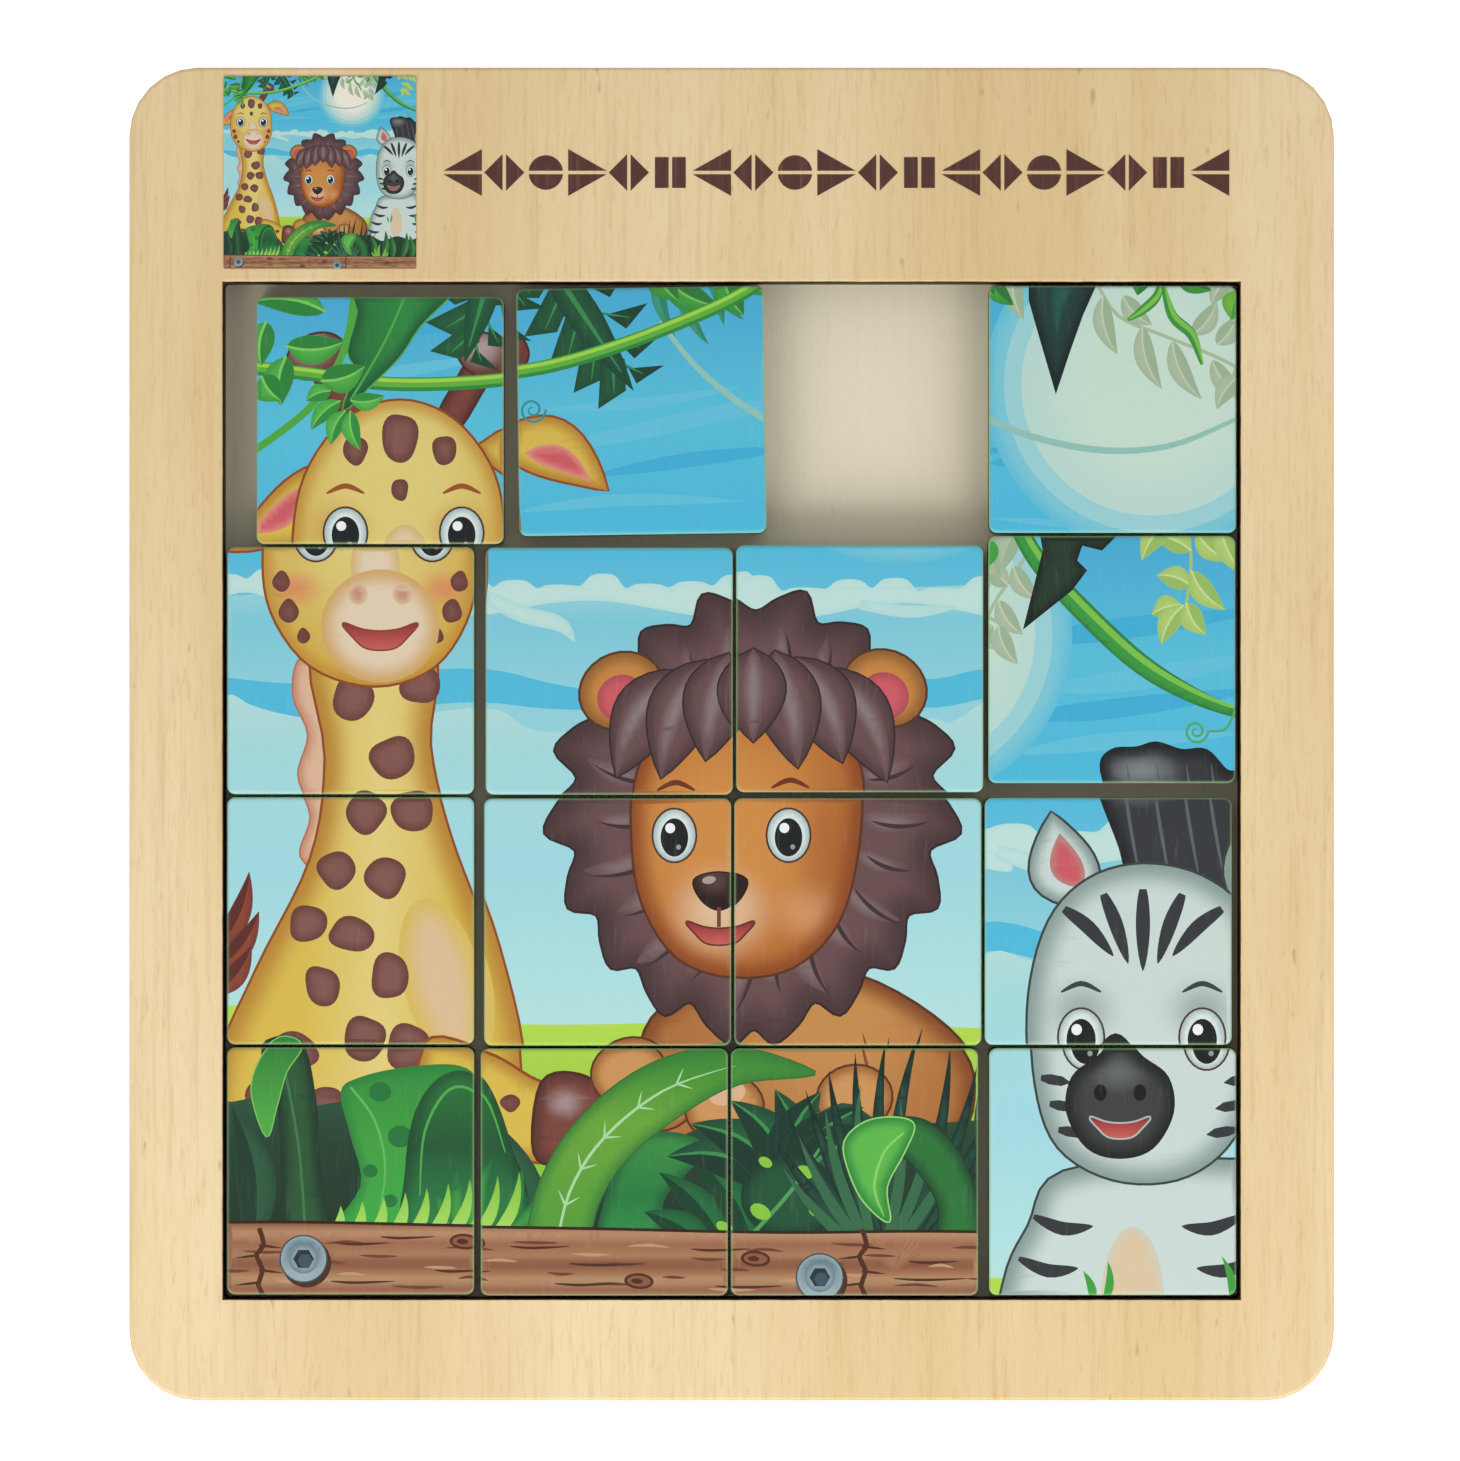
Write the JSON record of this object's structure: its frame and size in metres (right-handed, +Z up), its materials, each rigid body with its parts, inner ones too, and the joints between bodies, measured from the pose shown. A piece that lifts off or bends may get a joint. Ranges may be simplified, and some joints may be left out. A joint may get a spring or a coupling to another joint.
{
  "type": "sliding tile puzzle",
  "caption": "Flat plywood tray with a square window of loose square picture tiles and one empty place that a tile slides into.",
  "frame": {"origin": "centre of the tray's footprint, at the underside that it rests on", "axes": "+X to the right of the picture, +Y towards the top of the picture, +Z up out of the tray"},
  "size_m": [0.15, 0.166, 0.009],
  "materials": {
    "base_plywood": "bare sanded plywood, matt",
    "frame_plywood": "bare sanded plywood with scorched cut edges, matt",
    "preview_picture": "colour print, satin",
    "tile_wood": "dark green painted edges, satin",
    "tile_picture": "laminated colour print, satin gloss"
  },
  "bodies": {
    "tray": {"base_board": "base_plywood", "frame_board": "frame_plywood", "preview_print": "preview_picture"},
    "tile_01": {"tile_01_block": "tile_wood", "tile_01_print": "tile_picture"},
    "tile_02": {"tile_02_block": "tile_wood", "tile_02_print": "tile_picture"},
    "tile_03": {"tile_03_block": "tile_wood", "tile_03_print": "tile_picture"},
    "tile_04": {"tile_04_block": "tile_wood", "tile_04_print": "tile_picture"},
    "tile_05": {"tile_05_block": "tile_wood", "tile_05_print": "tile_picture"},
    "tile_06": {"tile_06_block": "tile_wood", "tile_06_print": "tile_picture"},
    "tile_07": {"tile_07_block": "tile_wood", "tile_07_print": "tile_picture"},
    "tile_08": {"tile_08_block": "tile_wood", "tile_08_print": "tile_picture"},
    "tile_09": {"tile_09_block": "tile_wood", "tile_09_print": "tile_picture"},
    "tile_10": {"tile_10_block": "tile_wood", "tile_10_print": "tile_picture"},
    "tile_11": {"tile_11_block": "tile_wood", "tile_11_print": "tile_picture"},
    "tile_12": {"tile_12_block": "tile_wood", "tile_12_print": "tile_picture"},
    "tile_13": {"tile_13_block": "tile_wood", "tile_13_print": "tile_picture"},
    "tile_14": {"tile_14_block": "tile_wood", "tile_14_print": "tile_picture"},
    "tile_15": {"tile_15_block": "tile_wood", "tile_15_print": "tile_picture"}
  },
  "joints": [
    {"name": "tile_01_slide", "type": "slide", "parent": "tray", "child": "tile_01", "axis": [1, 0, 0], "range_m": [-0.0037, 0.0012]},
    {"name": "tile_02_slide", "type": "slide", "parent": "tray", "child": "tile_02", "axis": [1, 0, 0], "range_m": [-0.0012, 0.0272]},
    {"name": "tile_03_slide", "type": "slide", "parent": "tray", "child": "tile_03", "axis": [1, 0, 0], "range_m": [-0.0272, 0]},
    {"name": "tile_04_lift", "type": "slide", "parent": "tray", "child": "tile_04", "axis": [0, 0, 1], "range_m": [0, 0.012]},
    {"name": "tile_05_lift", "type": "slide", "parent": "tray", "child": "tile_05", "axis": [0, 0, 1], "range_m": [0, 0.012]},
    {"name": "tile_06_lift", "type": "slide", "parent": "tray", "child": "tile_06", "axis": [0, 0, 1], "range_m": [0, 0.012]},
    {"name": "tile_07_lift", "type": "slide", "parent": "tray", "child": "tile_07", "axis": [0, 0, 1], "range_m": [0, 0.012]},
    {"name": "tile_08_lift", "type": "slide", "parent": "tray", "child": "tile_08", "axis": [0, 0, 1], "range_m": [0, 0.012]},
    {"name": "tile_09_lift", "type": "slide", "parent": "tray", "child": "tile_09", "axis": [0, 0, 1], "range_m": [0, 0.012]},
    {"name": "tile_10_lift", "type": "slide", "parent": "tray", "child": "tile_10", "axis": [0, 0, 1], "range_m": [0, 0.012]},
    {"name": "tile_11_lift", "type": "slide", "parent": "tray", "child": "tile_11", "axis": [0, 0, 1], "range_m": [0, 0.012]},
    {"name": "tile_12_lift", "type": "slide", "parent": "tray", "child": "tile_12", "axis": [0, 0, 1], "range_m": [0, 0.012]},
    {"name": "tile_13_lift", "type": "slide", "parent": "tray", "child": "tile_13", "axis": [0, 0, 1], "range_m": [0, 0.012]},
    {"name": "tile_14_lift", "type": "slide", "parent": "tray", "child": "tile_14", "axis": [0, 0, 1], "range_m": [0, 0.012]},
    {"name": "tile_15_lift", "type": "slide", "parent": "tray", "child": "tile_15", "axis": [0, 0, 1], "range_m": [0, 0.012]}
  ]
}
